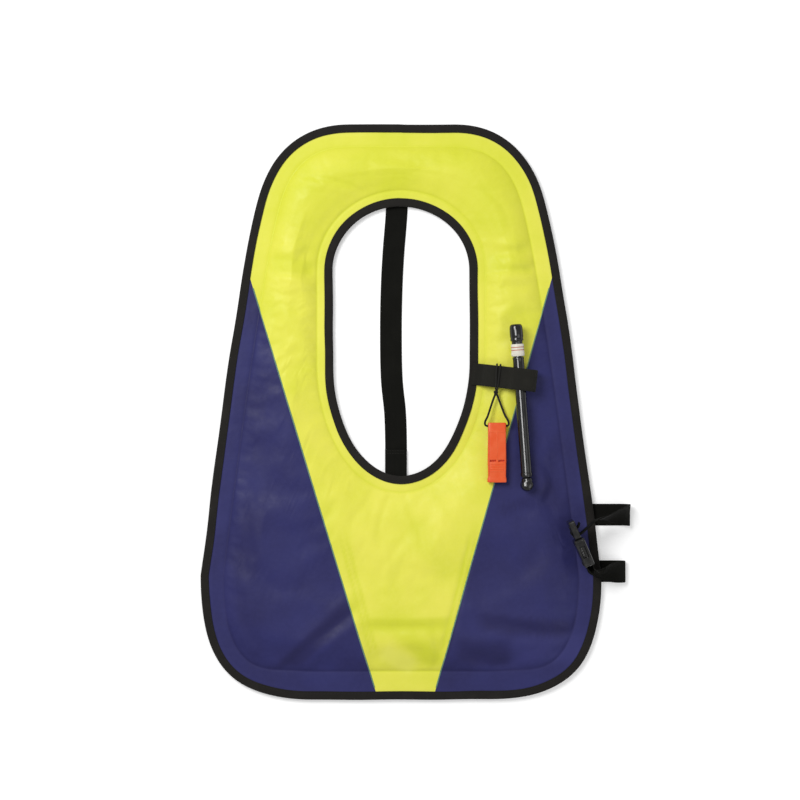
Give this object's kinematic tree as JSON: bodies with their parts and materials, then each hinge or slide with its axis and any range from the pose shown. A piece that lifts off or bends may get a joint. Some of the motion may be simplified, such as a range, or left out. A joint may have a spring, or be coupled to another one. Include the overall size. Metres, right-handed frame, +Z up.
{
  "type": "snorkelling life vest",
  "caption": "Horse-collar buoyancy vest, flat and deflated, with oral inflation hose, elastic keeper, whistle on a lanyard, back strap and side-release waist belt.",
  "frame": {"origin": "on the underside of the back strap, on the vest's centre line at mid length, in the surface that the vest lies on", "axes": "+Y from hem to collar, +Z up out of the front of the vest, +X to the right of the vest as it lies face up"},
  "size_m": [0.4927, 0.66, 0.0523],
  "materials": {
    "yellow_fabric": "coated woven nylon with a soft sheen",
    "navy_fabric": "coated woven nylon with a soft sheen",
    "back_fabric": "coated woven nylon",
    "binding_tape": "ribbed woven tape, matt",
    "webbing": "woven polypropylene webbing",
    "elastic": "knitted elastic, matt",
    "lanyard_cord": "braided cord",
    "black_plastic": "moulded acetal, satin",
    "black_rubber": "smooth, semi gloss",
    "pale_ring": "glossy",
    "whistle_orange": "moulded, semi gloss",
    "spring_steel": "drawn wire"
  },
  "bodies": {
    "chest": {"front_panel_yellow": "yellow_fabric", "front_panel_navy_left": "navy_fabric", "front_panel_navy_right": "navy_fabric", "back_panel_chest": "back_fabric", "edge_binding_chest": "binding_tape", "neck_binding_chest": "binding_tape", "back_strap_chest": "webbing", "waist_belt": "webbing", "belt_patch_left": "webbing", "belt_tab": "webbing", "belt_patch_right": "webbing", "buckle_socket": "black_plastic", "inlet_elbow": "black_rubber", "inlet_flange": "black_plastic", "keeper_foot": "elastic"},
    "collar": {"front_panel_collar": "yellow_fabric", "back_panel_collar": "back_fabric", "edge_binding_collar": "binding_tape", "neck_binding_collar": "binding_tape", "back_strap_collar": "webbing", "strap_patch_collar": "webbing"},
    "slider": {"strap_slider": "black_plastic"},
    "hose": {"inflation_hose": "black_rubber", "valve_body": "black_plastic", "valve_spring": "spring_steel"},
    "lock_ring": {"lock_ring": "pale_ring"},
    "mouthpiece": {"mouthpiece": "black_rubber", "valve_poppet": "black_plastic"},
    "keeper": {"keeper_loop": "elastic", "lanyard_hitch": "lanyard_cord"},
    "knot": {"lanyard_knot": "lanyard_cord"},
    "lanyard": {"lanyard_cord": "lanyard_cord"},
    "whistle": {"whistle": "whistle_orange"},
    "plug": {"buckle_plug": "black_plastic", "waist_belt_end": "webbing"},
    "arm_upper": {"buckle_arm_upper": "black_plastic"},
    "arm_lower": {"buckle_arm_lower": "black_plastic"}
  },
  "joints": [
    {"name": "collar_fold", "type": "hinge", "parent": "chest", "child": "collar", "pos_m": [0, 0.152, 0.0066], "axis": [1, 0, 0], "range_deg": [0, 100]},
    {"name": "slider_adjust", "type": "slide", "parent": "chest", "child": "slider", "axis": [0, 1, 0], "range_m": [-0.005, 0.015]},
    {"name": "hose_lift", "type": "hinge", "parent": "chest", "child": "hose", "pos_m": [0.1431, -0.07382, 0.028], "axis": [0.9974, 0.0722, 0], "range_deg": [0, 4.5]},
    {"name": "keeper_lift", "type": "hinge", "parent": "chest", "child": "keeper", "pos_m": [0.10532, 0.04096, 0.0228], "axis": [-0.1184, -0.993, 0], "range_deg": [0, 17]},
    {"name": "lock_ring_turn", "type": "hinge", "parent": "hose", "child": "lock_ring", "pos_m": [0.1327, 0.0698, 0.028], "axis": [-0.0722, 0.9974, 0], "range_deg": [0, 180]},
    {"name": "mouthpiece_press", "type": "slide", "parent": "hose", "child": "mouthpiece", "axis": [0.0722, -0.9974, 0], "range_m": [0, 0.0035], "stiffness_N_per_m": 300, "deforming": ["valve_spring"]},
    {"name": "knot_swing", "type": "hinge", "parent": "chest", "child": "knot", "pos_m": [0.1083, 0.022, 0.0217], "axis": [0, 0, 1], "range_deg": [-40, 6]},
    {"name": "lanyard_lift", "type": "hinge", "parent": "knot", "child": "lanyard", "pos_m": [0.1083, 0.022, 0.0217], "axis": [-1, 0, 0], "range_deg": [0, 80]},
    {"name": "whistle_tilt", "type": "hinge", "parent": "lanyard", "child": "whistle", "pos_m": [0.1093, -0.0158, 0.0246], "axis": [-1, 0, 0], "range_deg": [0, 90]},
    {"name": "buckle_release", "type": "slide", "parent": "chest", "child": "plug", "axis": [-0.3939, 0.9191, 0], "range_m": [0, 0.026]},
    {"name": "arm_upper_squeeze", "type": "hinge", "parent": "plug", "child": "arm_upper", "pos_m": [0.2003, -0.14337, 0.0449], "axis": [0.9191, 0.3939, 0], "range_deg": [0, 8], "stiffness_Nm_per_rad": 0.08},
    {"name": "arm_lower_squeeze", "type": "hinge", "parent": "plug", "child": "arm_lower", "pos_m": [0.2003, -0.14337, 0.0261], "axis": [-0.9191, -0.3939, 0], "range_deg": [0, 8], "stiffness_Nm_per_rad": 0.08}
  ],
  "couplings": [
    {"joint": "keeper_lift", "follows": "hose_lift", "ratio": 3.6}
  ]
}
